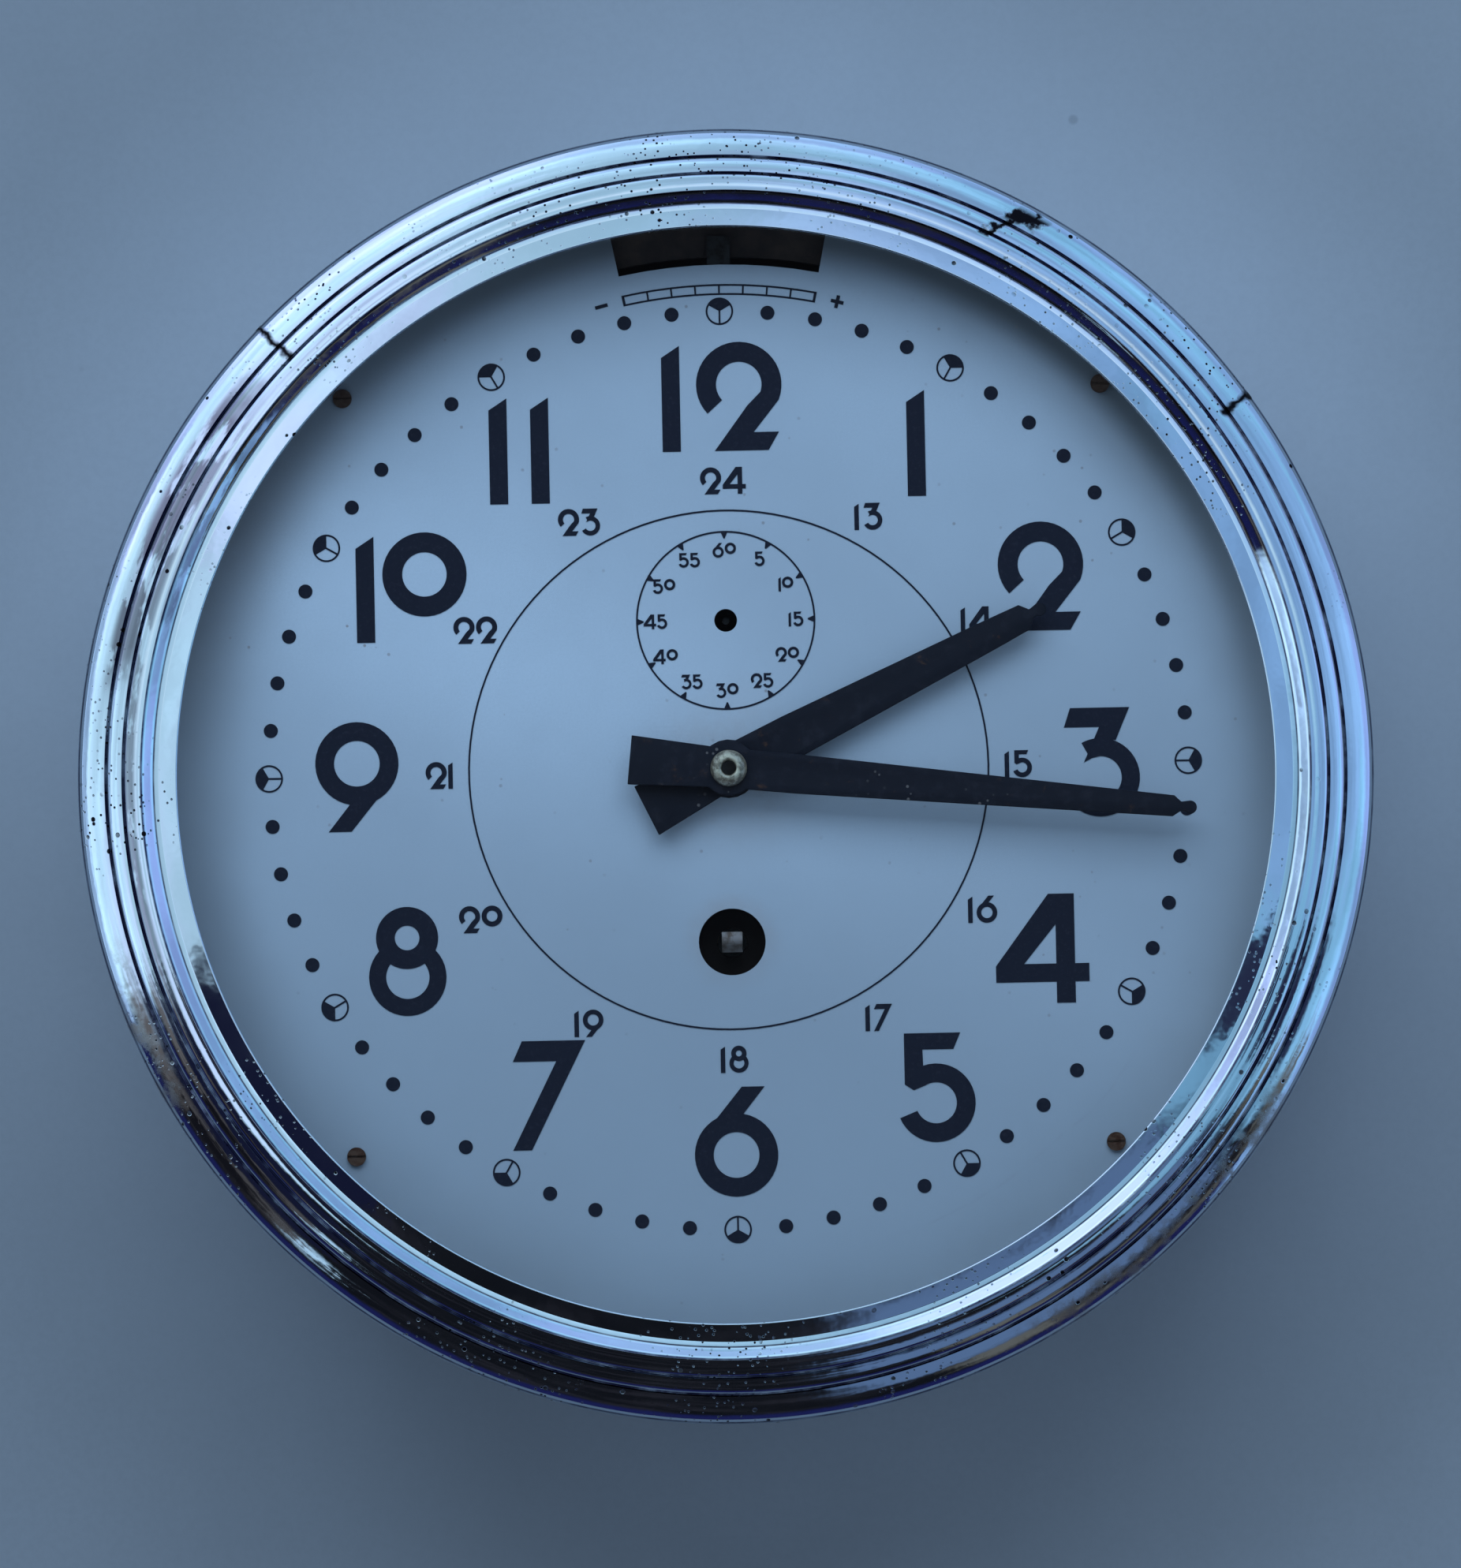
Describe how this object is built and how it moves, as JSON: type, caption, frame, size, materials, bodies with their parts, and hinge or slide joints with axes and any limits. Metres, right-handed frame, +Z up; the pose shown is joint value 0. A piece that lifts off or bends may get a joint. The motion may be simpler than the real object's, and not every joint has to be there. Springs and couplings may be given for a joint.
{
  "type": "ship clock",
  "caption": "Round wall clock with a hinged stepped chrome bezel, recessed silvered dial, matt black hands, winding hole and a geared lever movement inside.",
  "frame": {"origin": "centre of the flat back face that rests on the wall", "axes": "the dial faces -Y, +Y points into the wall, +Z is up towards twelve o'clock and +X is right"},
  "size_m": [0.22, 0.065, 0.22],
  "materials": {
    "bezel_chrome": "polished chrome plate, pitted, with brown wear",
    "case_chrome": "dull chrome plate",
    "glass": "clear flat glass",
    "brass": "satin",
    "wheel_brass": "polished",
    "steel": "satin",
    "rusty_steel": "rusted",
    "spring_steel": "blued",
    "silvered": "matt silvered, blue in cast, with fine specks",
    "ink": "printed ink",
    "black_metal": "matt black paint with wear",
    "nut_metal": "dull plated"
  },
  "bodies": {
    "case": {"case_drum": "case_chrome", "dial_seat_ring": "steel", "hinge_leaf_case": "brass", "hinge_pin": "steel", "catch_spring": "brass", "leaf_screws": "steel", "dial_plate": "silvered", "dial_screws": "rusty_steel", "hour_numerals": "ink", "day_numerals": "ink", "minute_track": "ink", "seconds_ring": "ink", "regulator_scale": "ink", "front_plate": "brass", "back_plate": "brass", "pillars": "brass", "plate_screws": "steel", "dial_feet": "brass", "foot_screws": "steel", "click_spring": "spring_steel", "click_screws": "steel", "hairspring": "spring_steel", "hairspring_stud": "steel", "balance_cock": "brass", "cock_screws": "steel"},
    "bezel": {"bezel_ring": "bezel_chrome", "glass": "glass", "glass_retainer": "brass", "hinge_leaf_bezel": "brass"},
    "minute_hand_group": {"minute_hand": "black_metal", "hand_nut": "nut_metal", "cannon_pinion": "steel"},
    "hour_hand_group": {"hour_hand": "black_metal", "hour_wheel": "wheel_brass"},
    "minute_wheel_group": {"minute_wheel": "wheel_brass"},
    "centre_group": {"centre_arbor": "steel", "centre_wheel": "wheel_brass"},
    "third_group": {"third_arbor": "steel", "third_wheel": "wheel_brass"},
    "fourth_group": {"fourth_arbor": "steel", "fourth_wheel": "wheel_brass"},
    "escape_group": {"escape_arbor": "steel", "escape_wheel": "wheel_brass"},
    "intermediate_group": {"intermediate_arbor": "steel", "intermediate_wheel": "wheel_brass"},
    "barrel_group": {"barrel": "wheel_brass", "barrel_cap": "brass", "mainspring": "spring_steel"},
    "winding_group": {"barrel_arbor": "steel", "ratchet_wheel": "steel"},
    "click_group": {"ratchet_click": "steel"},
    "pallet_group": {"pallet_fork": "steel", "pallet_arbor": "steel"},
    "balance_group": {"balance_wheel": "wheel_brass", "balance_staff": "steel"},
    "regulator_group": {"regulator_index": "steel"}
  },
  "joints": [
    {"name": "bezel_hinge", "type": "hinge", "parent": "case", "child": "bezel", "pos_m": [-0.1045, -0.0425, 0], "axis": [0, 0, -1], "range_deg": [0, 115]},
    {"name": "minute_turn", "type": "hinge", "parent": "case", "child": "minute_hand_group", "pos_m": [0, -0.056, 0], "axis": [0, 1, 0], "continuous": true},
    {"name": "hour_turn", "type": "hinge", "parent": "case", "child": "hour_hand_group", "pos_m": [0, -0.053, 0], "axis": [0, 1, 0], "continuous": true},
    {"name": "minute_wheel_turn", "type": "hinge", "parent": "case", "child": "minute_wheel_group", "pos_m": [0.00873, -0.044, -0.00504], "axis": [0, 1, 0], "continuous": true},
    {"name": "centre_turn", "type": "hinge", "parent": "case", "child": "centre_group", "pos_m": [0, -0.03, 0], "axis": [0, 1, 0], "continuous": true},
    {"name": "third_turn", "type": "hinge", "parent": "case", "child": "third_group", "pos_m": [0.01065, -0.032, 0.01451], "axis": [0, 1, 0], "continuous": true},
    {"name": "fourth_turn", "type": "hinge", "parent": "case", "child": "fourth_group", "pos_m": [0, -0.025, 0.0255], "axis": [0, 1, 0], "continuous": true},
    {"name": "escape_turn", "type": "hinge", "parent": "case", "child": "escape_group", "pos_m": [-0.01165, -0.03, 0.0317], "axis": [0, 1, 0], "continuous": true},
    {"name": "intermediate_turn", "type": "hinge", "parent": "case", "child": "intermediate_group", "pos_m": [-0.01468, -0.017, -0.01041], "axis": [0, 1, 0], "continuous": true},
    {"name": "barrel_turn", "type": "hinge", "parent": "case", "child": "barrel_group", "pos_m": [0, -0.028, -0.0294], "axis": [0, 1, 0], "continuous": true},
    {"name": "winding_turn", "type": "hinge", "parent": "case", "child": "winding_group", "pos_m": [0, -0.028, -0.0294], "axis": [0, 1, 0], "continuous": true},
    {"name": "click_swing", "type": "hinge", "parent": "case", "child": "click_group", "pos_m": [-0.013, -0.0123, -0.0202], "axis": [0, -1, 0], "range_deg": [0, 12], "stiffness_Nm_per_rad": 0.002, "springref_deg": -5.73, "deforming": ["click_spring"]},
    {"name": "pallet_swing", "type": "hinge", "parent": "case", "child": "pallet_group", "pos_m": [-0.00641, -0.03, 0.03724], "axis": [0, 1, 0], "range_deg": [-5, 5]},
    {"name": "balance_swing", "type": "hinge", "parent": "case", "child": "balance_group", "pos_m": [0, -0.034, 0.044], "axis": [0, 1, 0], "range_deg": [-220, 220], "stiffness_Nm_per_rad": 0.000008, "deforming": ["hairspring"]},
    {"name": "regulator_swing", "type": "hinge", "parent": "case", "child": "regulator_group", "pos_m": [0, -0.0456, 0.044], "axis": [0, 1, 0], "range_deg": [-16, 16]}
  ],
  "couplings": [
    {"joint": "hour_turn", "follows": "minute_turn", "ratio": 0.083333},
    {"joint": "minute_wheel_turn", "follows": "minute_turn", "ratio": -0.33333},
    {"joint": "centre_turn", "follows": "minute_turn", "ratio": 1},
    {"joint": "third_turn", "follows": "minute_turn", "ratio": -8},
    {"joint": "fourth_turn", "follows": "minute_turn", "ratio": 60},
    {"joint": "escape_turn", "follows": "minute_turn", "ratio": -600},
    {"joint": "intermediate_turn", "follows": "minute_turn", "ratio": -0.2},
    {"joint": "barrel_turn", "follows": "minute_turn", "ratio": 0.028571}
  ]
}
